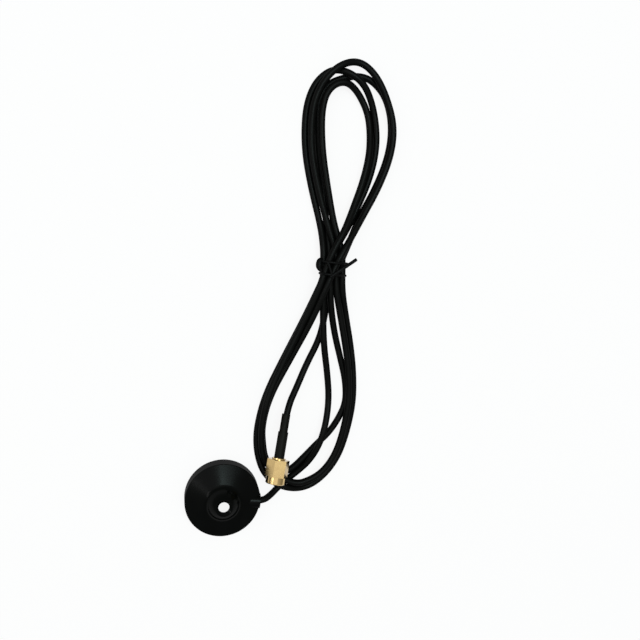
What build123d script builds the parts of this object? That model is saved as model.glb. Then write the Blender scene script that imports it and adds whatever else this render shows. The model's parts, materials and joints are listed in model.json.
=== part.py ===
from build123d import *
from math import radians, sqrt, tan
import os

# Low-profile round antenna with a centre fixing hole, a long thin coaxial lead
# tied in a loose hank, and a screw-on coaxial plug. Millimetres, +Z up, origin on
# the surface that the adhesive pad stands on, under the centre of the disc.
# +X runs along the cable boss.

# Disc housing: outside
disc_radius = 15.25
pad_thickness = 0.5
skirt_top = 6.3
shoulder_inset = 0.2
shoulder_height = 6.7
hub_foot_radius = 6.6
hub_foot_height = 10.2
hub_bulge = 0.3
hub_top_radius = 3.5
disc_height = 14.7
foot_blend = 3.5

# Fixing hole and the room under the hub
hole_radius = 2.2
countersink_radius = 3.3
countersink_depth = 0.8
hole_wall = 1.6
hole_ledge = 0.8
hub_wall = 2.3

# Base cover, circuit board and the chamber round them
cover_thickness = 0.7
collar_wall = 0.9
disc_wall = 2.3
roof_wall = 1.6
ledge_width = 0.75
seat_clearance = 0.05
rib_width = 0.8
board_width = 3.85
board_thickness = 0.7
board_gap = 0.1
jacket_gap = 0.05
trace_thickness = 0.04
trace_share = 0.34
trace_place = 0.27
ground_arc = 150.0

# Adhesive pad
pad_inset = 0.35

# Cable boss and its rubber bush
boss_radius = 3.0
boss_height = 5.5
boss_channel_margin = 0.2
boss_round = 0.35
bush_wall = 0.7
bush_clearance = 0.03

# Coaxial cable and its stripped end inside the disc
cable_diameter = 2.7
cable_clearance = 0.06
braid_radius = 1.05
dielectric_radius = 0.72
wire_radius = 0.26
strip_margin = 0.1
layer_clearance = 0.02
solder_share = 0.6

# Plug: place and direction of its axis, measured from the rear of its sleeves
plug_rear = Vector(22.25, 37.33, 6.8)
plug_direction = Vector(-0.0905, -0.98184, 0.16674)
plug_side = Vector(0.9735, -0.0519, 0.2229)

# Plug: lengths along its axis
rear_sleeve_length = 7.6
front_sleeve_overlap = 0.3
front_sleeve_length = 10.5
ferrule_length = 9.7
cable_entry = 0.6
cable_approach = 5.0
flange_length = 0.5
flange_gap = 0.1
hex_length = 6.9
ring_length = 2.9
lip_length = 1.5
clip_gap = 0.1
clip_thickness = 0.5
gasket_thickness = 0.8
barrel_length = 3.6
insulator_recess = 0.3
insulator_step = 3.0
insulator_wall = 0.4
pin_reach = 1.9

# Plug: radii and clearances
rear_sleeve_radius = 1.7
front_sleeve_radius = 2.05
ferrule_radius = 1.8
sleeve_clearance = 0.02
flange_radius = 2.7
neck_radius = 2.3
groove_radius = 2.05
nut_clearance = 0.06
nut_bore_radius = 2.95
hex_width = 8.0
hex_chamfer_radius = 4.0
hex_chamfer = 0.7
nut_ring_radius = 3.95
nut_ring_chamfer = 0.3
clip_radius = 2.87
clip_opening = 50.0
gasket_clearance = 0.05
barrel_bore_radius = 1.95
core_bore_radius = 1.5
pin_radius = 0.46
pin_point = 0.3

# Twist tie round the waist of the hank
tie_radius = 0.55
tie_round = 1.6
tie_tail_radius = 0.6
tie_knot_radius = 1.0
tie_knot_round = 0.7

# Outside and roof of the disc that follow from the values above
shoulder_radius = disc_radius - shoulder_inset
chamber_radius = disc_radius - disc_wall
board_outer = chamber_radius - board_gap
board_inner = board_outer - board_width
collar_radius = board_inner - board_gap
passage_radius = collar_radius - collar_wall
cover_top = pad_thickness + cover_thickness
ceiling_height = disc_height - hole_wall
flare_slope = (hub_foot_height - shoulder_height) / (shoulder_radius - hub_foot_radius)


def roof_height(radius):
    """Height of the chamber's roof, which runs along under the flare."""
    return shoulder_height + (shoulder_radius - radius) * flare_slope - roof_wall


# Board, its traces and the stripped cable end above them
cable_radius = cable_diameter / 2
bush_bore = cable_radius + cable_clearance
bush_radius = bush_bore + bush_wall
trace_top = boss_height - cable_radius - jacket_gap
board_top = trace_top - trace_thickness
board_seat = board_top - board_thickness
trace_width = board_width * trace_share
trace_gap = board_width * (1 - 2 * trace_place - trace_share)
radiator_middle = board_inner + board_width * trace_place
ground_middle = board_outer - board_width * trace_place
cable_start = ground_middle + trace_width / 2 + strip_margin
braid_end = ground_middle - trace_width / 2 - strip_margin
dielectric_end = radiator_middle + trace_width / 2
wire_end = radiator_middle - trace_width / 2

# Route of the cable from the disc to the plug, point by point
cable_route = [
    (cable_start, 0, boss_height), (16.6, 0, boss_height), (20.0, 1.9, 3.4),
    (22.9, 4.6, 1.7), (26.3, 7.7, 1.45),
    (30.9, 10.6, 1.45), (34.8, 16.6, 2.9), (38.0, 24.0, 4.6), (40.5, 32.9, 4.6),
    (41.4, 43.7, 1.6), (38.9, 54.9, 2.6), (35.6, 66.3, 4.35), (33.5, 78.2, 4.85),
    (32.2, 88.8, 5.65), (31.0, 97.6, 5.65), (29.4, 104.6, 5.65), (27.9, 114.4, 2.9),
    (24.0, 128.0, 1.45), (19.8, 142.4, 1.45), (18.5, 155.5, 1.45), (19.3, 164.3, 1.45),
    (22.3, 171.0, 1.45), (27.6, 175.6, 1.45), (33.2, 175.0, 4.6), (39.4, 171.6, 4.35),
    (45.0, 164.8, 1.7), (48.5, 155.1, 1.45), (49.0, 145.6, 1.45), (47.2, 134.9, 1.45),
    (43.7, 124.0, 1.45), (39.4, 113.7, 2.05), (35.9, 106.0, 2.75), (33.6, 97.7, 2.75),
    (30.5, 88.4, 2.75), (26.1, 75.5, 1.45), (19.5, 59.1, 1.45), (13.7, 43.7, 1.45),
    (11.5, 30.9, 1.45), (11.7, 22.4, 1.45), (13.5, 15.2, 1.45), (16.7, 10.5, 2.8),
    (20.8, 7.4, 4.5), (26.1, 5.3, 4.5), (31.9, 4.4, 2.2), (37.1, 5.8, 1.45),
    (41.3, 9.2, 1.45), (44.8, 14.3, 1.45), (47.7, 21.0, 1.45), (49.9, 31.6, 1.45),
    (51.1, 43.4, 1.45), (49.6, 55.4, 1.45), (47.1, 66.7, 1.45), (44.1, 79.1, 1.8),
    (41.4, 89.6, 5.5), (39.8, 98.4, 5.65), (38.4, 105.6, 5.65), (35.3, 115.3, 4.95),
    (30.3, 128.6, 4.35), (25.9, 142.9, 4.35), (24.1, 155.8, 4.35), (24.1, 163.1, 4.35),
    (25.8, 167.6, 4.35), (28.7, 171.0, 4.35), (32.7, 172.1, 4.1), (37.1, 170.2, 2.6),
    (40.4, 166.2, 1.6), (43.4, 161.1, 1.45), (45.4, 154.3, 1.5), (45.8, 144.9, 3.6),
    (44.2, 134.3, 4.35), (41.0, 123.5, 5.2), (37.2, 113.1, 7.9), (33.9, 105.6, 8.8),
    (31.6, 97.8, 8.55), (29.6, 88.8, 8.55), (25.8, 75.9, 5.4), (19.4, 59.7, 4.35),
    (14.1, 44.4, 4.35), (12.7, 31.8, 4.35), (13.6, 23.0, 4.35), (16.1, 16.5, 4.35),
    (20.2, 12.3, 4.4), (25.2, 9.5, 4.4), (30.7, 8.1, 4.4), (35.3, 9.1, 4.35),
    (39.4, 12.4, 4.35), (42.7, 17.1, 4.35), (45.4, 23.4, 4.35), (47.5, 33.6, 4.35),
    (48.5, 44.8, 4.35), (47.1, 55.8, 4.35), (44.3, 67.0, 4.35), (40.9, 79.2, 4.85),
    (38.3, 89.3, 5.65), (36.8, 98.1, 5.65), (35.6, 105.3, 5.65), (32.5, 114.9, 4.95),
    (27.1, 128.2, 4.35), (22.7, 142.5, 4.35), (20.8, 155.4, 4.35), (21.1, 163.4, 4.35),
    (24.0, 171.5, 5.2), (30.0, 177.7, 5.6), (37.5, 180.1, 3.4), (43.9, 175.8, 4.5),
    (49.8, 168.2, 4.35), (54.4, 157.1, 4.35), (54.4, 145.2, 4.35), (51.0, 132.0, 4.35),
    (45.9, 119.7, 4.35), (41.2, 110.7, 7.3), (37.6, 104.4, 8.8), (35.4, 98.1, 8.55),
    (32.8, 89.9, 9.2), (29.2, 76.3, 6.1), (22.9, 59.0, 1.45), (16.7, 43.5, 1.45),
    (14.6, 31.1, 1.45), (14.8, 22.8, 1.45), (16.0, 16.7, 1.45), (19.5, 12.7, 1.45),
    (24.2, 10.9, 1.45), (28.5, 12.5, 1.45), (32.7, 18.1, 1.45), (37.6, 24.1, 1.45),
    (42.1, 29.0, 1.45), (46.0, 34.9, 1.45), (48.2, 42.4, 1.45), (47.1, 51.8, 1.45),
    (43.8, 61.4, 1.45), (40.1, 71.3, 1.9), (36.6, 80.9, 4.6), (35.2, 89.1, 5.65),
    (33.9, 97.8, 5.65), (32.3, 104.5, 5.5), (30.6, 114.8, 2.1), (29.2, 128.6, 1.45),
    (24.9, 143.1, 1.45), (23.1, 156.2, 1.45), (22.9, 163.5, 1.45), (25.7, 169.9, 1.45),
    (31.6, 173.2, 1.45), (38.0, 175.0, 1.45), (44.8, 173.7, 1.45), (50.4, 168.1, 1.45),
    (54.3, 157.5, 1.45), (54.4, 145.5, 1.45), (51.0, 132.2, 1.45), (46.1, 119.8, 1.45),
    (42.4, 110.0, 2.05), (39.1, 100.7, 2.75), (36.5, 92.2, 2.75), (34.8, 84.9, 1.45),
    (34.2, 77.0, 1.45), (33.2, 68.1, 1.45), (29.6, 57.8, 1.45), (26.4, 49.8, 2.4),
]

# Corners of the two wraps of the twist tie, their bridge and the twisted tail
tie_wraps = [
    (100.4, [(33.6, 0.7), (41.3, 0.7), (41.3, 6.7), (37.0, 10.8), (31.3, 10.8),
             (27.6, 5.2)]),
    (95.6, [(31.7, 0.7), (38.4, 0.7), (43.7, 6.3), (35.1, 10.85), (29.0, 10.85),
            (29.0, 5.6)]),
]
tie_bridge = [(32.3, 100.4, 10.8), (33.7, 95.6, 10.85)]
tie_tail = [(34.0, 95.2, 10.9), (38.3, 98.6, 11.3), (43.3, 102.5, 9.8)]
tie_knot = [(28.9, 95.7, 7.8), (28.8, 101.3, 7.8)]

# Share of the shorter run that an arc of the cable or the tie may take
arc_share = 0.45


def corner_radii(points, limit=None):
    """Radius of the arc at each inner point of a route."""
    radii = []
    for before, here, after in zip(points, points[1:], points[2:]):
        run_in = Vector(here) - Vector(before)
        run_out = Vector(after) - Vector(here)
        turn = radians(run_in.get_angle(run_out))
        radius = arc_share * min(run_in.length, run_out.length) / tan(turn / 2)
        radii.append(radius if limit is None else min(radius, limit))
    return radii


# Planes and stations of the plug
plug_axis = Axis(plug_rear, plug_direction)
plug_profile = Plane(
    origin=plug_rear,
    x_dir=plug_direction,
    z_dir=plug_direction.cross(plug_side.cross(plug_direction)),
)


def plug_station(distance):
    """Plane across the plug's axis, at a distance from its rear."""
    return Plane(
        origin=plug_rear + plug_direction * distance,
        x_dir=plug_side,
        z_dir=plug_direction,
    )


ferrule_start = rear_sleeve_length
cable_end = ferrule_start + cable_entry
ferrule_end = ferrule_start + ferrule_length
sleeve_end = ferrule_start - front_sleeve_overlap + front_sleeve_length
flange_start = sleeve_end
flange_end = flange_start + flange_length
nut_start = flange_end + flange_gap
lip_end = nut_start + lip_length
clip_start = lip_end + clip_gap
clip_end = clip_start + clip_thickness
gasket_end = clip_end + gasket_thickness
barrel_end = gasket_end + barrel_length
hex_end = nut_start + hex_length
nut_end = hex_end + ring_length
core_start = flange_start + flange_length / 2
step_start = barrel_end - insulator_step
insulator_end = barrel_end - insulator_recess
pin_end = barrel_end + pin_reach
ferrule_bore = cable_radius + sleeve_clearance
stem_radius = ferrule_bore - sleeve_clearance
lip_bore = neck_radius + nut_clearance

os.makedirs("parts", exist_ok=True)

# Housing: flared disc with a domed hub and a cable boss
collar_seat_height = roof_height(board_inner)
inner_room = [
    (0, 0),
    (chamber_radius + ledge_width, 0),
    (chamber_radius + ledge_width, cover_top),
    (chamber_radius, cover_top),
    (chamber_radius, roof_height(chamber_radius)),
    (board_inner, collar_seat_height),
    (passage_radius, collar_seat_height),
    (hub_foot_radius - hub_wall, hub_foot_height),
    (hole_radius + hole_ledge, ceiling_height),
    (0, ceiling_height),
]
with BuildPart() as housing:
    with BuildSketch(Plane.XZ):
        with BuildLine():
            Polyline(
                (0, pad_thickness),
                (disc_radius, pad_thickness),
                (disc_radius, skirt_top),
                (shoulder_radius, shoulder_height),
                (hub_foot_radius, hub_foot_height),
            )
            SagittaArc(
                (hub_foot_radius, hub_foot_height),
                (hub_top_radius, disc_height),
                -hub_bulge,
            )
            Polyline((hub_top_radius, disc_height), (0, disc_height), (0, pad_thickness))
        make_face()
    revolve(axis=Axis.Z)
    foot_edge = (
        housing.edges()
        .filter_by(GeomType.CIRCLE)
        .filter_by(lambda edge: abs(edge.radius - hub_foot_radius) < seat_clearance)
    )
    fillet(foot_edge, radius=foot_blend)
    with BuildSketch(Plane.YZ.offset(hub_foot_radius)):
        with Locations((0, boss_height)):
            Circle(boss_radius)
    extrude(amount=disc_radius - hub_foot_radius)
    with BuildSketch(Plane.XZ):
        with BuildLine():
            Polyline(*inner_room, close=True)
        make_face()
    revolve(axis=Axis.Z, mode=Mode.SUBTRACT)
    with BuildSketch(Plane.YZ.offset(board_inner + boss_channel_margin)):
        with Locations((0, boss_height)):
            Circle(bush_radius + bush_clearance)
    extrude(amount=disc_radius, mode=Mode.SUBTRACT)
    with BuildSketch(Plane.XY.offset(ceiling_height)):
        Circle(hole_radius)
    extrude(amount=hole_wall, mode=Mode.SUBTRACT)
    with BuildSketch(Plane.XZ):
        with BuildLine():
            Polyline(
                (0, disc_height - countersink_depth),
                (hole_radius, disc_height - countersink_depth),
                (countersink_radius, disc_height),
                (0, disc_height),
                close=True,
            )
        make_face()
    revolve(axis=Axis.Z, mode=Mode.SUBTRACT)
housing.part.label = "housing"
export_step(housing.part, "parts/housing.step")

# Base cover: ring plate with a collar that closes the chamber round the passage, and
# two ring ribs that carry the board at the height of the cable
with BuildPart() as base_cover:
    with BuildSketch(Plane.XY.offset(pad_thickness)):
        Circle(chamber_radius + ledge_width - seat_clearance)
        Circle(passage_radius, mode=Mode.SUBTRACT)
    extrude(amount=cover_thickness)
    with BuildSketch(Plane.XY.offset(cover_top)):
        Circle(collar_radius)
        Circle(passage_radius, mode=Mode.SUBTRACT)
    extrude(amount=collar_seat_height - cover_top)
    with BuildSketch(Plane.XY.offset(cover_top)):
        Circle(board_outer)
        Circle(board_outer - rib_width, mode=Mode.SUBTRACT)
        Circle(board_inner + rib_width)
        Circle(collar_radius - seat_clearance, mode=Mode.SUBTRACT)
    extrude(amount=board_seat - cover_top)
base_cover.part.label = "base_cover"
export_step(base_cover.part, "parts/base_cover.step")

# Adhesive pad: foam ring that the antenna is stuck down with
with BuildPart() as adhesive_pad:
    with BuildSketch(Plane.XY):
        Circle(disc_radius - pad_inset)
        Circle(passage_radius + pad_inset, mode=Mode.SUBTRACT)
    extrude(amount=pad_thickness)
adhesive_pad.part.label = "adhesive_pad"
export_step(adhesive_pad.part, "parts/adhesive_pad.step")

# Circuit board: ring round the collar, lying on the base cover's ribs
with BuildPart() as circuit_board:
    with BuildSketch(Plane.XY.offset(board_seat)):
        Circle(board_outer)
        Circle(board_inner, mode=Mode.SUBTRACT)
    extrude(amount=board_thickness)
circuit_board.part.label = "circuit_board"
export_step(circuit_board.part, "parts/circuit_board.step")

# Radiating trace: inner copper arc, from the feed point round the board
with BuildPart() as radiator_trace:
    with BuildSketch(Plane.XY.offset(board_top)):
        Circle(radiator_middle + trace_width / 2)
        Circle(radiator_middle - trace_width / 2, mode=Mode.SUBTRACT)
        with Locations((-board_outer, 0)):
            Rectangle(board_outer, trace_gap, mode=Mode.SUBTRACT)
    extrude(amount=trace_thickness)
radiator_trace.part.label = "radiator_trace"
export_step(radiator_trace.part, "parts/radiator_trace.step")

# Ground trace: outer copper arc under the braid
with BuildPart() as ground_trace:
    with BuildSketch(Plane.XY.offset(board_top)):
        SlotArc(
            arc=CenterArc((0, 0), ground_middle, -ground_arc / 2, ground_arc),
            height=trace_width,
        )
    extrude(amount=trace_thickness)
ground_trace.part.label = "ground_trace"
export_step(ground_trace.part, "parts/ground_trace.step")

# Stripped cable end: braid, dielectric and centre wire, one inside the other
feed_plane = Plane.YZ.offset(cable_start)


def feed_length(end):
    """Length of a stripped layer, from the cable's jacket inwards."""
    return end - cable_start


with BuildPart() as coax_braid:
    with BuildSketch(feed_plane):
        with Locations((0, boss_height)):
            Circle(braid_radius)
            Circle(dielectric_radius + layer_clearance, mode=Mode.SUBTRACT)
    extrude(amount=feed_length(braid_end))
coax_braid.part.label = "coax_braid"
export_step(coax_braid.part, "parts/coax_braid.step")

with BuildPart() as coax_dielectric:
    with BuildSketch(feed_plane):
        with Locations((0, boss_height)):
            Circle(dielectric_radius)
            Circle(wire_radius + layer_clearance, mode=Mode.SUBTRACT)
    extrude(amount=feed_length(dielectric_end))
coax_dielectric.part.label = "coax_dielectric"
export_step(coax_dielectric.part, "parts/coax_dielectric.step")

with BuildPart() as coax_wire:
    with BuildSketch(feed_plane):
        with Locations((0, boss_height)):
            Circle(wire_radius)
    extrude(amount=feed_length(wire_end))
coax_wire.part.label = "coax_wire"
export_step(coax_wire.part, "parts/coax_wire.step")

# Solder joints: small cones from a trace up to the wire and the braid
solder_foot_radius = trace_width / 2
solder_top_radius = solder_foot_radius * solder_share
feed_rise = boss_height - wire_radius - layer_clearance - trace_top
ground_rise = boss_height - braid_radius - layer_clearance - trace_top
with BuildPart() as feed_solder:
    with BuildSketch(Plane.XY.offset(trace_top)):
        with Locations((radiator_middle, 0)):
            Circle(solder_foot_radius)
    with BuildSketch(Plane.XY.offset(trace_top + feed_rise)):
        with Locations((radiator_middle, 0)):
            Circle(solder_top_radius)
    loft()
feed_solder.part.label = "feed_solder"
export_step(feed_solder.part, "parts/feed_solder.step")

with BuildPart() as ground_solder:
    with BuildSketch(Plane.XY.offset(trace_top)):
        with Locations((ground_middle, 0)):
            Circle(solder_foot_radius)
    with BuildSketch(Plane.XY.offset(trace_top + ground_rise)):
        with Locations((ground_middle, 0)):
            Circle(solder_top_radius)
    loft()
ground_solder.part.label = "ground_solder"
export_step(ground_solder.part, "parts/ground_solder.step")

# Cable bush: rubber sleeve in the boss, with a rounded mouth
with BuildPart() as cable_bush:
    with BuildSketch(Plane.YZ.offset(chamber_radius)):
        with Locations((0, boss_height)):
            Circle(bush_radius)
            Circle(bush_bore, mode=Mode.SUBTRACT)
    extrude(amount=disc_wall)
    mouth = cable_bush.faces().sort_by(Axis.X)[-1].inner_wires()[0].edges()
    fillet(mouth, radius=boss_round)
cable_bush.part.label = "cable_bush"
export_step(cable_bush.part, "parts/cable_bush.step")

# Cable: one tube from the board, round the whole hank, into the plug's ferrule
cable_tip = plug_rear + plug_direction * cable_end
cable_lead = plug_rear - plug_direction * cable_approach
route = [Vector(*point) for point in cable_route] + [cable_lead, cable_tip]
cable_bends = corner_radii(route)
with BuildPart() as cable:
    with BuildLine() as cable_path:
        FilletPolyline(*route, radius=cable_bends)
    with BuildSketch(Plane.YZ.offset(cable_start)):
        with Locations((0, boss_height)):
            Circle(cable_radius)
    sweep(path=cable_path.wire())
cable.part.label = "cable"
export_step(cable.part, "parts/cable.step")
print("cable length", round(cable_path.wire().length, 1))
print("cable volume", round(cable.part.volume, 1))
print("section by length", round(3.14159265 * cable_radius**2 * cable_path.wire().length, 1))
print("cable bend radii", [round(radius, 1) for radius in cable_bends])

# Heat-shrink sleeves: a narrow one on the cable and a wide one on the ferrule
with BuildPart() as rear_sleeve:
    with BuildSketch(plug_station(0)):
        Circle(rear_sleeve_radius)
        Circle(cable_radius + sleeve_clearance, mode=Mode.SUBTRACT)
    extrude(amount=rear_sleeve_length)
rear_sleeve.part.label = "rear_sleeve"
export_step(rear_sleeve.part, "parts/rear_sleeve.step")

with BuildPart() as front_sleeve:
    with BuildSketch(plug_station(ferrule_start - front_sleeve_overlap)):
        Circle(front_sleeve_radius)
        Circle(ferrule_radius + sleeve_clearance, mode=Mode.SUBTRACT)
    extrude(amount=front_sleeve_length)
front_sleeve.part.label = "front_sleeve"
export_step(front_sleeve.part, "parts/front_sleeve.step")

# Crimp ferrule under the wide sleeve
with BuildPart() as crimp_ferrule:
    with BuildSketch(plug_station(ferrule_start)):
        Circle(ferrule_radius)
        Circle(ferrule_bore, mode=Mode.SUBTRACT)
    extrude(amount=ferrule_length)
crimp_ferrule.part.label = "crimp_ferrule"
export_step(crimp_ferrule.part, "parts/crimp_ferrule.step")

# Plug body: stem, flange, neck with the clip's groove, and the outer contact
with BuildPart() as plug_body:
    with BuildSketch(plug_profile):
        with BuildLine():
            Polyline(
                (cable_end, 0),
                (cable_end, stem_radius),
                (flange_start, stem_radius),
                (flange_start, flange_radius),
                (flange_end, flange_radius),
                (flange_end, neck_radius),
                (clip_start, neck_radius),
                (clip_start, groove_radius),
                (clip_end, groove_radius),
                (clip_end, neck_radius),
                (barrel_end, neck_radius),
                (barrel_end, barrel_bore_radius),
                (step_start, barrel_bore_radius),
                (step_start, core_bore_radius),
                (core_start, core_bore_radius),
                (core_start, 0),
                close=True,
            )
        make_face()
    revolve(axis=plug_axis)
plug_body.part.label = "plug_body"
export_step(plug_body.part, "parts/plug_body.step")

# Coupling nut: chamfered hexagon with a round front ring, turning on the neck
with BuildPart() as coupling_nut:
    with BuildSketch(plug_station(nut_start)):
        RegularPolygon(radius=hex_width / 2, side_count=6, major_radius=False, rotation=45)
    extrude(amount=hex_length)
    with BuildSketch(plug_profile):
        with BuildLine():
            Polyline(
                (nut_start, 0),
                (nut_start, hex_chamfer_radius),
                (nut_start + hex_chamfer, hex_width),
                (hex_end - hex_chamfer / 2, hex_width),
                (hex_end, hex_chamfer_radius),
                (hex_end, 0),
                close=True,
            )
        make_face()
    revolve(axis=plug_axis, mode=Mode.INTERSECT)
    with BuildSketch(plug_profile):
        with BuildLine():
            Polyline(
                (hex_end, 0),
                (hex_end, nut_ring_radius),
                (nut_end - nut_ring_chamfer, nut_ring_radius),
                (nut_end, nut_ring_radius - nut_ring_chamfer),
                (nut_end, 0),
                close=True,
            )
        make_face()
    revolve(axis=plug_axis)
    with BuildSketch(plug_profile):
        with BuildLine():
            Polyline(
                (nut_start, 0),
                (nut_start, lip_bore),
                (lip_end, lip_bore),
                (lip_end, nut_bore_radius),
                (nut_end - nut_ring_chamfer, nut_bore_radius),
                (nut_end, nut_bore_radius + nut_ring_chamfer),
                (nut_end, 0),
                close=True,
            )
        make_face()
    revolve(axis=plug_axis, mode=Mode.SUBTRACT)
coupling_nut.part.label = "coupling_nut"
export_step(coupling_nut.part, "parts/coupling_nut.step")

# Retaining clip: open ring in the body's groove that holds the nut on
with BuildPart() as retaining_clip:
    with BuildSketch(plug_station(clip_start)):
        Circle(clip_radius)
        Circle(groove_radius + layer_clearance, mode=Mode.SUBTRACT)
        with BuildLine():
            opening_side = clip_radius * 2
            opening_half = opening_side * tan(radians(clip_opening / 2))
            Polyline(
                (0, 0),
                (opening_side, opening_half),
                (opening_side, -opening_half),
                close=True,
            )
        make_face(mode=Mode.SUBTRACT)
    extrude(amount=clip_thickness)
retaining_clip.part.label = "retaining_clip"
export_step(retaining_clip.part, "parts/retaining_clip.step")

# Sealing gasket: rubber ring in front of the clip
with BuildPart() as sealing_gasket:
    with BuildSketch(plug_station(clip_end)):
        Circle(clip_radius)
        Circle(neck_radius + gasket_clearance, mode=Mode.SUBTRACT)
    extrude(amount=gasket_thickness)
sealing_gasket.part.label = "sealing_gasket"
export_step(sealing_gasket.part, "parts/sealing_gasket.step")

# Plug insulator: stepped core in the body's bore
with BuildPart() as plug_insulator:
    with BuildSketch(plug_profile):
        with BuildLine():
            Polyline(
                (core_start, pin_radius + layer_clearance),
                (core_start, core_bore_radius - layer_clearance),
                (step_start, core_bore_radius - layer_clearance),
                (step_start, barrel_bore_radius - layer_clearance),
                (insulator_end, barrel_bore_radius - layer_clearance),
                (insulator_end, pin_radius + layer_clearance),
                close=True,
            )
        make_face()
    revolve(axis=plug_axis)
plug_insulator.part.label = "plug_insulator"
export_step(plug_insulator.part, "parts/plug_insulator.step")

# Centre pin with a pointed tip
with BuildPart() as centre_pin:
    with BuildSketch(plug_profile):
        with BuildLine():
            Polyline(
                (core_start, 0),
                (core_start, pin_radius),
                (pin_end - pin_point, pin_radius),
                (pin_end, pin_radius / 3),
                (pin_end, 0),
                close=True,
            )
        make_face()
    revolve(axis=plug_axis)
centre_pin.part.label = "centre_pin"
export_step(centre_pin.part, "parts/centre_pin.step")

# Twist tie: two wraps round the waist of the hank, a bridge, the thick twist at the
# left flank and a straight tail
with BuildPart() as twist_tie:
    for wrap_place, corners in tie_wraps:
        loop = [Vector(x, wrap_place, z) for x, z in corners]
        with BuildLine() as wrap_path:
            FilletPolyline(*loop, radius=tie_round, close=True)
        wrap = wrap_path.wire()
        with BuildSketch(Plane(origin=wrap @ 0, z_dir=wrap % 0)):
            Circle(tie_radius)
        sweep(path=wrap)
    for strand, strand_radius in ((tie_bridge, tie_radius), (tie_tail, tie_tail_radius)):
        points = [Vector(*point) for point in strand]
        with BuildLine() as strand_path:
            if len(points) > 2:
                FilletPolyline(*points, radius=corner_radii(points, tie_round))
            else:
                Polyline(*points)
        with BuildSketch(Plane(origin=points[0], z_dir=points[1] - points[0])):
            Circle(strand_radius)
        sweep(path=strand_path.wire())
    knot_start, knot_end = [Vector(*point) for point in tie_knot]
    with BuildSketch(Plane(origin=knot_start, z_dir=knot_end - knot_start)):
        Circle(tie_knot_radius)
    knot = extrude(amount=(knot_end - knot_start).length, mode=Mode.PRIVATE)
    knot_rims = knot.edges().filter_by(GeomType.CIRCLE)
    add(knot.fillet(tie_knot_round, knot_rims))
twist_tie.part.label = "twist_tie"
export_step(twist_tie.part, "parts/twist_tie.step")
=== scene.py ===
import json
import math

import bpy
from mathutils import Matrix, Vector


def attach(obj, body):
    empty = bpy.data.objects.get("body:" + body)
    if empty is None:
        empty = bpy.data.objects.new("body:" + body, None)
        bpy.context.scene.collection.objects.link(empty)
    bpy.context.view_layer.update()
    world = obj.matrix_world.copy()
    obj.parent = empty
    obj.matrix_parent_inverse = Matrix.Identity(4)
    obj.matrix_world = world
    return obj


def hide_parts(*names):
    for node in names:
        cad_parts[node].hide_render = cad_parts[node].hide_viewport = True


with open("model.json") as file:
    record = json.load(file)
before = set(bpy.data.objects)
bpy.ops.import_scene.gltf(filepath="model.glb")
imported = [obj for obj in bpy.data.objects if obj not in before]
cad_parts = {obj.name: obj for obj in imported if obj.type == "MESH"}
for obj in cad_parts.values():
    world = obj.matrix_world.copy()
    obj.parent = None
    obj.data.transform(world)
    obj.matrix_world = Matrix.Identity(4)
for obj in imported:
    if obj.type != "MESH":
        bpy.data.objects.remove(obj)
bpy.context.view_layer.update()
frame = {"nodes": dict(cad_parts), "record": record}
nodes = frame["nodes"]
MM = 0.001
WHITE = (1.0, 1.0, 1.0)
OPAQUE = 1.0


def link(name, data):
    """New object with this data, in the scene."""
    piece = bpy.data.objects.new(name, data)
    bpy.context.scene.collection.objects.link(piece)
    return piece


# Camera: looks down on the hank from above its middle, tilted a little
CAMERA_LENS = 38.25
CAMERA_SENSOR = 36.0
CAMERA_NEAR = 0.01
CAMERA_RIGHT = Vector((0.97258, 0.10909, 0.20539))
CAMERA_UP = Vector((-0.08439, 0.98851, -0.12543))
CAMERA_BACK = Vector((-0.21671, 0.10465, 0.97061))
CAMERA_PLACE = Vector((-0.02756, 0.10556, 0.27310))
camera_data = bpy.data.cameras.new("camera")
camera_data.lens = CAMERA_LENS
camera_data.sensor_width = CAMERA_SENSOR
camera_data.clip_start = CAMERA_NEAR
camera = link("camera", camera_data)
camera_turn = Matrix((CAMERA_RIGHT, CAMERA_UP, CAMERA_BACK)).transposed().to_4x4()
camera.matrix_world = Matrix.Translation(CAMERA_PLACE) @ camera_turn
bpy.context.scene.camera = camera

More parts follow.
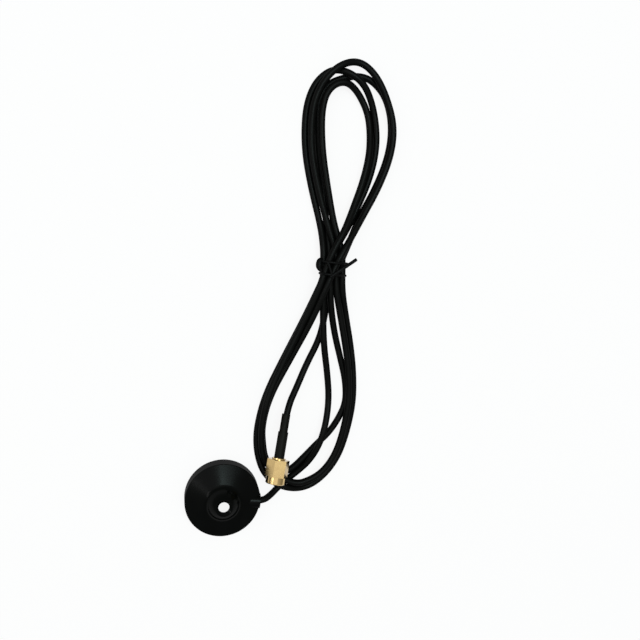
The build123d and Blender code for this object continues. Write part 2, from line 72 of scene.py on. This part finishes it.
# Cable: the points of its line in millimetres, from the disc's boss through the hank to the plug
CABLE_WIDTH = 2.7
CABLE_ROUTE = [
    (12.57, 0, 5.5), (16.6, 0, 5.5), (20.0, 1.9, 3.4), (22.9, 4.6, 1.7), (26.1, 7.9, 1.45),
    (30.0, 11.2, 1.45), (34.6, 16.7, 2.9), (37.8, 24.0, 4.6), (39.7, 32.9, 4.6),
    (40.6, 43.7, 1.6), (38.3, 54.9, 2.6), (35.2, 66.3, 4.35), (33.4, 78.2, 4.85),
    (32.2, 88.8, 5.65), (31.0, 97.6, 5.65), (30.6, 104.6, 5.65), (28.8, 114.4, 2.9),
    (23.9, 128.0, 1.45), (19.5, 142.4, 1.45), (18.0, 155.5, 1.45), (18.8, 164.3, 1.45),
    (21.8, 171.3, 1.45), (27.2, 176.0, 1.45), (33.2, 175.0, 4.6), (39.8, 171.6, 4.35),
    (44.8, 164.8, 1.7), (47.8, 155.1, 1.45), (48.6, 145.6, 1.45), (47.1, 134.9, 1.45),
    (43.7, 124.0, 1.45), (39.8, 113.7, 2.05), (35.9, 106.0, 2.75), (33.6, 97.7, 2.75),
    (30.5, 88.4, 2.75), (26.1, 75.5, 1.45), (19.5, 59.1, 1.45), (13.7, 43.7, 1.45),
    (11.6, 30.9, 1.45), (12.0, 22.4, 1.45), (14.0, 15.2, 1.45), (16.7, 10.5, 2.8),
    (20.8, 7.4, 4.5), (26.1, 5.5, 4.5), (31.9, 4.6, 2.2), (36.8, 6.0, 1.45), (41.0, 9.4, 1.45),
    (44.8, 14.3, 1.45), (48.0, 21.0, 1.45), (50.2, 31.6, 1.45), (51.2, 43.4, 1.45),
    (49.8, 55.4, 1.45), (47.3, 66.7, 1.45), (43.6, 79.1, 1.8), (39.9, 89.6, 5.5),
    (39.0, 98.4, 5.65), (38.1, 105.6, 5.65), (33.7, 115.3, 4.95), (29.9, 128.6, 4.35),
    (26.0, 142.9, 4.35), (24.1, 155.8, 4.35), (24.4, 163.1, 4.35), (25.9, 167.2, 4.35),
    (28.8, 170.2, 4.35), (32.7, 171.2, 4.1), (36.5, 169.7, 2.6), (40.1, 166.2, 1.6),
    (43.3, 161.1, 1.45), (45.1, 154.3, 1.5), (45.4, 144.9, 3.6), (43.9, 134.3, 4.35),
    (41.0, 123.5, 5.2), (37.6, 113.1, 7.9), (33.9, 105.6, 8.8), (31.6, 97.8, 8.55),
    (29.6, 88.8, 8.55), (25.8, 75.9, 5.4), (19.4, 59.7, 5.6), (14.1, 44.4, 6.3),
    (12.7, 31.8, 6.3), (13.6, 23.0, 5.1), (15.7, 16.5, 4.35), (20.2, 12.3, 4.4), (25.2, 8.7, 4.4),
    (30.7, 7.4, 4.4), (35.3, 9.1, 4.35), (39.8, 12.1, 4.35), (43.4, 16.9, 4.35),
    (46.1, 23.4, 4.35), (47.9, 33.6, 4.35), (48.5, 44.8, 4.35), (47.1, 55.8, 4.35),
    (44.3, 67.0, 4.35), (40.6, 79.2, 4.85), (37.4, 89.3, 5.65), (36.4, 98.1, 5.65),
    (35.4, 105.3, 5.65), (31.2, 114.9, 4.95), (26.0, 128.2, 4.35), (21.5, 142.5, 4.35),
    (20.2, 155.4, 4.35), (20.8, 163.4, 4.35), (24.0, 171.5, 5.2), (30.0, 177.7, 5.6),
    (37.5, 180.1, 3.4), (43.9, 175.8, 4.5), (49.4, 168.2, 4.35), (54.2, 157.1, 4.35),
    (54.2, 145.2, 4.35), (50.5, 132.0, 4.35), (45.2, 119.7, 4.35), (40.7, 110.7, 7.3),
    (37.5, 104.4, 8.8), (35.1, 98.1, 8.55), (32.3, 89.9, 9.2), (28.7, 76.3, 6.1),
    (22.1, 59.0, 2.4), (15.1, 43.5, 3.8), (13.2, 31.1, 3.8), (14.6, 22.8, 2.6),
    (16.3, 16.7, 1.45), (19.5, 12.7, 1.45), (24.2, 10.9, 1.45), (28.2, 12.9, 1.45),
    (32.7, 18.1, 1.45), (37.6, 24.1, 1.45), (42.1, 29.0, 1.45), (45.6, 35.2, 1.45),
    (48.1, 42.4, 1.45), (46.8, 51.8, 1.45), (43.4, 61.4, 1.45), (39.7, 71.3, 1.9),
    (36.6, 80.9, 4.6), (35.0, 89.1, 5.65), (33.9, 97.8, 5.65), (33.1, 104.5, 4.5),
    (31.3, 114.8, 1.7), (28.8, 128.6, 1.45), (24.9, 143.1, 1.45), (23.1, 156.2, 1.45),
    (22.9, 163.5, 1.45), (25.7, 169.9, 1.45), (31.6, 173.2, 1.45), (38.0, 175.0, 1.45),
    (44.0, 173.9, 1.45), (50.4, 168.1, 1.45), (54.1, 157.5, 1.45), (54.0, 145.5, 1.45),
    (50.2, 132.2, 1.45), (44.8, 119.8, 1.45), (41.8, 110.0, 2.05), (38.7, 100.7, 2.75),
    (36.5, 92.2, 2.75), (35.1, 84.9, 1.45), (34.8, 77.0, 1.45), (33.6, 68.1, 1.45),
    (29.5, 57.8, 1.45), (25.9, 47.8, 3.5),
]
PLUG_REAR = Vector((22.25, 37.33, 6.8))
PLUG_DIRECTION = Vector((-0.0905, -0.98184, 0.16674))
CABLE_APPROACH = 2.5
CABLE_END = 8.2
CABLE_SMOOTHNESS = 8

# Twist tie: two wraps, each with its place along the hank and its points across and up
TIE_RADIUS = 0.5
TIE_SMOOTHNESS = 5
TIE_WRAPS = [
    (100.4, [(33.6, 0.75), (37.5, 0.7), (41.0, 0.75), (41.2, 3.8), (40.9, 6.7),
             (39.2, 8.9), (37.0, 10.8), (34.1, 10.85), (31.6, 10.7), (29.9, 8.1),
             (29.1, 5.4), (30.7, 2.8)]),
    (95.6, [(31.7, 0.75), (35.1, 0.7), (38.6, 0.75), (40.3, 2.9), (40.9, 5.6),
            (39.2, 8.5), (35.6, 10.8), (32.6, 10.9), (30.5, 10.6), (29.8, 8.3),
            (29.8, 5.6), (30.6, 3.2)]),
]
# Twist tie: the step between the wraps, the thick twist at the left and the straight tail
TIE_STEP = [(31.5, 100.4, 10.8), (32.5, 98.8, 11.0), (33.7, 95.8, 10.9)]
TIE_KNOT = [
    (30.2, 96.6, 9.2, 1.0), (29.3, 97.0, 8.2, 1.6), (28.9, 98.2, 7.6, 2.6),
    (28.9, 99.6, 7.4, 2.7), (29.1, 100.9, 7.2, 2.2), (29.8, 101.4, 6.8, 1.2),
]
TIE_TAIL = [(33.2, 94.7, 10.9), (38.3, 98.7, 11.2), (43.2, 102.6, 10.2)]
TAIL_RADIUS = 0.68

# Curves: a section of one metre, scaled at each point to the real radius there
SECTION_UNIT = 1.0
POINT_WEIGHT = 1.0
SPLINE_ORDER = 3


def curve_piece(name, runs, radius, smoothness):
    """Round cable or wire along runs of points in millimetres, each run open or closed.

    A fourth number in a point is how many times thicker the wire is there.
    """
    curve = bpy.data.curves.new(name, "CURVE")
    curve.dimensions = "3D"
    curve.bevel_depth = SECTION_UNIT
    curve.bevel_resolution = smoothness
    curve.use_fill_caps = True
    for points, closed in runs:
        spline = curve.splines.new("NURBS")
        spline.points.add(len(points) - 1)
        for control, (x, y, z, *thickness) in zip(spline.points, points):
            control.co = (x * MM, y * MM, z * MM, POINT_WEIGHT)
            control.radius = radius * MM * (thickness[0] if thickness else 1.0)
        spline.order_u = SPLINE_ORDER
        spline.use_endpoint_u = not closed
        spline.use_cyclic_u = closed
        spline.resolution_u = smoothness
    return link(name, curve)


# Cable: one smooth line through the whole hank and into the plug's sleeves
cable_lead = PLUG_REAR - PLUG_DIRECTION * CABLE_APPROACH
cable_tip = PLUG_REAR + PLUG_DIRECTION * CABLE_END
cable_points = CABLE_ROUTE + [tuple(cable_lead), tuple(cable_tip)]
cable_line = curve_piece("cable_line", [(cable_points, False)], CABLE_WIDTH / 2, CABLE_SMOOTHNESS)
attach(cable_line, "antenna")
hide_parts("cable")

# Twist tie: round coated wire
tie_runs = [([(x, place, z) for x, z in corners], True) for place, corners in TIE_WRAPS]
tie_runs.append((TIE_STEP, False))
tie_runs.append((TIE_KNOT, False))
tie_wraps = curve_piece("tie_wraps", tie_runs, TIE_RADIUS, TIE_SMOOTHNESS)
tie_tail = curve_piece("tie_tail", [(TIE_TAIL, False)], TAIL_RADIUS, TIE_SMOOTHNESS)
for piece in (tie_wraps, tie_tail):
    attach(piece, "antenna")
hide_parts("twist_tie")

# Surfaces: broad clouds of shade and gloss, and a fine grain, sized as shares of the grain's scale
CLOUD_SCALE = 0.25
CLOUD_DETAIL = 4.0
SHADE_START = 0.3
SHADE_END = 0.7
FINE_SCALE = 4.0
FINE_DETAIL = 3.0
GRAIN_HEIGHT = 0.00005
ROUGH_LEAST = 0.02
ROUGH_MOST = 1.0


def set_values(node, values):
    """Give the named sockets of a shading node their values."""
    for socket, value in values.items():
        node.inputs[socket].default_value = value


def noise(tree, place, scale, detail):
    """Pattern that keeps its place on the piece."""
    texture = tree.nodes.new("ShaderNodeTexNoise")
    set_values(texture, {"Scale": scale, "Detail": detail})
    tree.links.new(place.outputs["Object"], texture.inputs["Vector"])
    return texture.outputs["Fac"]


def material(name, colour, rough, metal=0.0, specular=0.5, coat=0.0, coat_rough=0.2, grain=0.0,
             grain_scale=900.0, tint=0.25, rough_spread=0.08):
    """Surface with fine colour and gloss variation and a shallow moulded or drawn grain."""
    surface = bpy.data.materials.new(name)
    surface.use_nodes = True
    tree = surface.node_tree
    shader = tree.nodes["Principled BSDF"]
    set_values(shader, {"Metallic": metal, "Specular IOR Level": specular,
                        "Coat Weight": coat, "Coat Roughness": coat_rough})
    place = tree.nodes.new("ShaderNodeTexCoord")
    cloud = noise(tree, place, grain_scale * CLOUD_SCALE, CLOUD_DETAIL)
    shades = tree.nodes.new("ShaderNodeValToRGB")
    darker = [channel * (1.0 - tint) for channel in colour]
    lighter = [min(1.0, channel * (1.0 + tint)) for channel in colour]
    stops = ((SHADE_START, darker), (SHADE_END, lighter))
    for stop, (position, shade) in zip(shades.color_ramp.elements, stops):
        stop.position = position
        stop.color = (*shade, OPAQUE)
    tree.links.new(cloud, shades.inputs["Fac"])
    tree.links.new(shades.outputs["Color"], shader.inputs["Base Color"])
    gloss = tree.nodes.new("ShaderNodeMapRange")
    set_values(gloss, {"To Min": max(ROUGH_LEAST, rough - rough_spread),
                       "To Max": min(ROUGH_MOST, rough + rough_spread)})
    tree.links.new(cloud, gloss.inputs["Value"])
    tree.links.new(gloss.outputs["Result"], shader.inputs["Roughness"])
    if grain:
        fine = noise(tree, place, grain_scale * FINE_SCALE, FINE_DETAIL)
        bump = tree.nodes.new("ShaderNodeBump")
        set_values(bump, {"Strength": grain, "Distance": GRAIN_HEIGHT})
        tree.links.new(fine, bump.inputs["Height"])
        tree.links.new(bump.outputs["Normal"], shader.inputs["Normal"])
    return surface


MATERIALS = {
    "housing_plastic": material(
        "housing_black", colour=(0.0013, 0.0016, 0.0014), rough=0.40, specular=0.0,
        coat=0.12, coat_rough=0.22, grain=0.15, grain_scale=700.0),
    "cover_plastic": material(
        "cover_black", colour=(0.010, 0.010, 0.010), rough=0.55, grain=0.3),
    "pad_foam": material(
        "foam_black", colour=(0.016, 0.016, 0.016), rough=0.9, grain=0.8, grain_scale=500.0),
    "board_laminate": material(
        "board_green", colour=(0.02, 0.12, 0.05), rough=0.4),
    "copper": material(
        "copper", colour=(0.80, 0.45, 0.28), rough=0.3, metal=1.0),
    "solder": material(
        "solder", colour=(0.66, 0.66, 0.67), rough=0.28, metal=1.0),
    "braid_wire": material(
        "braid", colour=(0.60, 0.59, 0.57), rough=0.4, metal=1.0, grain=0.8),
    "white_insulator": material(
        "white_core", colour=(0.80, 0.80, 0.77), rough=0.45, tint=0.04),
    "bush_rubber": material(
        "rubber_black", colour=(0.010, 0.010, 0.010), rough=0.6, grain=0.3),
    "cable_jacket": material(
        "jacket_black", colour=(0.0024, 0.0025, 0.0022), rough=0.45, specular=0.0,
        coat=0.13, coat_rough=0.38, grain=0.25, grain_scale=600.0),
    "sleeve_plastic": material(
        "sleeve_black", colour=(0.0045, 0.0045, 0.0034), rough=0.5, specular=0.0,
        coat=0.14, coat_rough=0.45, grain=0.3, grain_scale=600.0),
    "gold_plate": material(
        "gold_plate", colour=(0.58, 0.415, 0.185), rough=0.14, metal=1.0, tint=0.06,
        rough_spread=0.03, grain=0.1, grain_scale=1200.0),
    "clip_metal": material(
        "clip_bronze", colour=(0.62, 0.47, 0.25), rough=0.35, metal=1.0),
    "tie_plastic": material(
        "tie_black", colour=(0.0030, 0.0030, 0.0030), rough=0.45, specular=0.0,
        coat=0.12, coat_rough=0.4, grain=0.2),
}
slots = {entry["node"]: entry["material_slot"] for entry in frame["record"]["subparts"]}
for name, piece in nodes.items():
    piece.data.materials.clear()
    piece.data.materials.append(MATERIALS[slots[name]])
for piece, slot_name in ((cable_line, "cable_jacket"), (tie_wraps, "tie_plastic"),
                         (tie_tail, "tie_plastic")):
    piece.data.materials.append(MATERIALS[slot_name])

# Floor: matt white sheet just under the hank
FLOOR_HALF = 1.5
FLOOR_DROP = 0.00005
FLOOR_COLOUR = (0.9, 0.9, 0.9, OPAQUE)
FLOOR_CORNERS = ((-1, -1), (1, -1), (1, 1), (-1, 1))
floor_mesh = bpy.data.meshes.new("floor")
floor_points = [(x * FLOOR_HALF, y * FLOOR_HALF, 0) for x, y in FLOOR_CORNERS]
floor_mesh.from_pydata(floor_points, [], [tuple(range(len(floor_points)))])
floor = link("floor", floor_mesh)
floor.location.z = -FLOOR_DROP
floor_surface = bpy.data.materials.new("floor_white")
floor_surface.use_nodes = True
floor_tree = floor_surface.node_tree
floor_shader = floor_tree.nodes["Principled BSDF"]
set_values(floor_shader, {"Base Color": FLOOR_COLOUR, "Roughness": 1.0,
                          "Specular IOR Level": 0.0})
floor_mesh.materials.append(floor_surface)


def seen_rays(tree):
    """Output that is 1 for the rays that see the background: camera, glossy and transmission."""
    rays = tree.nodes.new("ShaderNodeLightPath")
    total = rays.outputs["Is Camera Ray"]
    for kind in ("Is Glossy Ray", "Is Transmission Ray"):
        both = tree.nodes.new("ShaderNodeMath")
        both.operation = "MAXIMUM"
        tree.links.new(total, both.inputs[0])
        tree.links.new(rays.outputs[kind], both.inputs[1])
        total = both.outputs[0]
    return total


# Floor: looks white where it is seen, and keeps a faint shadow
FLOOR_WHITE = 0.88
glow = floor_tree.nodes.new("ShaderNodeEmission")
set_values(glow, {"Color": (*WHITE, OPAQUE), "Strength": 1.0})
share = floor_tree.nodes.new("ShaderNodeMapRange")
set_values(share, {"To Min": 0.0, "To Max": FLOOR_WHITE})
floor_mix = floor_tree.nodes.new("ShaderNodeMixShader")
matt_side, white_side = floor_mix.inputs[1:]
floor_output = floor_tree.nodes["Material Output"]
floor_tree.links.new(seen_rays(floor_tree), share.inputs["Value"])
floor_tree.links.new(share.outputs["Result"], floor_mix.inputs["Fac"])
floor_tree.links.new(floor_shader.outputs["BSDF"], matt_side)
floor_tree.links.new(glow.outputs["Emission"], white_side)
floor_tree.links.new(floor_mix.outputs["Shader"], floor_output.inputs["Surface"])

# World: brighter overhead than towards the horizon, and white where the camera sees it
SKY_HORIZON = 0.35
SKY_ZENITH = 0.62
SKY_RISE_START = 0.35
SKY_RISE_END = 0.95
world = bpy.data.worlds.new("world")
world.use_nodes = True
bpy.context.scene.world = world
sky_tree = world.node_tree
sky = sky_tree.nodes["Background"]
set_values(sky, {"Color": (*WHITE, OPAQUE)})
direction = sky_tree.nodes.new("ShaderNodeTexCoord")
height = sky_tree.nodes.new("ShaderNodeSeparateXYZ")
sky_tree.links.new(direction.outputs["Generated"], height.inputs["Vector"])
rise = sky_tree.nodes.new("ShaderNodeMapRange")
rise.interpolation_type = "SMOOTHSTEP"
set_values(rise, {"From Min": SKY_RISE_START, "From Max": SKY_RISE_END,
                  "To Min": SKY_HORIZON, "To Max": SKY_ZENITH})
sky_tree.links.new(height.outputs["Z"], rise.inputs["Value"])
sky_rays = sky_tree.nodes.new("ShaderNodeLightPath")
power = sky_tree.nodes.new("ShaderNodeMath")
power.operation = "MAXIMUM"
sky_tree.links.new(sky_rays.outputs["Is Camera Ray"], power.inputs[0])
sky_tree.links.new(rise.outputs["Result"], power.inputs[1])
sky_tree.links.new(power.outputs[0], sky.inputs["Strength"])

# Lamps: soft panels as name, place, target, width, depth, watts and colour
PANELS = [
    ("window", (0.10, 0.27, 0.85), (0.0, 0.0, 0.0), 0.36, 0.20, 2.4, (0.76, 1.0, 0.97)),
    ("left_panel", (-0.70, 0.10, 0.60), (0.03, 0.09, 0.0), 0.12, 0.5, 1.0, WHITE),
]
for name, place, target, width, depth, watts, colour in PANELS:
    light = bpy.data.lights.new(name, "AREA")
    light.shape = "RECTANGLE"
    light.size = width
    light.size_y = depth
    light.energy = watts
    light.color = colour
    lamp = link(name, light)
    lamp.location = place
    lamp.rotation_euler = (Vector(target) - Vector(place)).to_track_quat("-Z", "Y").to_euler()

# Overhead light: broad and soft, its spread and tilt in degrees
SUN_STRENGTH = 0.5
SUN_SPREAD = 60
SUN_TILT = (-12, -10, 0)
sun = bpy.data.lights.new("overhead", "SUN")
sun.energy = SUN_STRENGTH
sun.angle = math.radians(SUN_SPREAD)
sun_lamp = link("overhead", sun)
sun_lamp.rotation_euler = [math.radians(angle) for angle in SUN_TILT]

bpy.context.scene.view_settings.view_transform = "Standard"

bpy.context.view_layer.update()
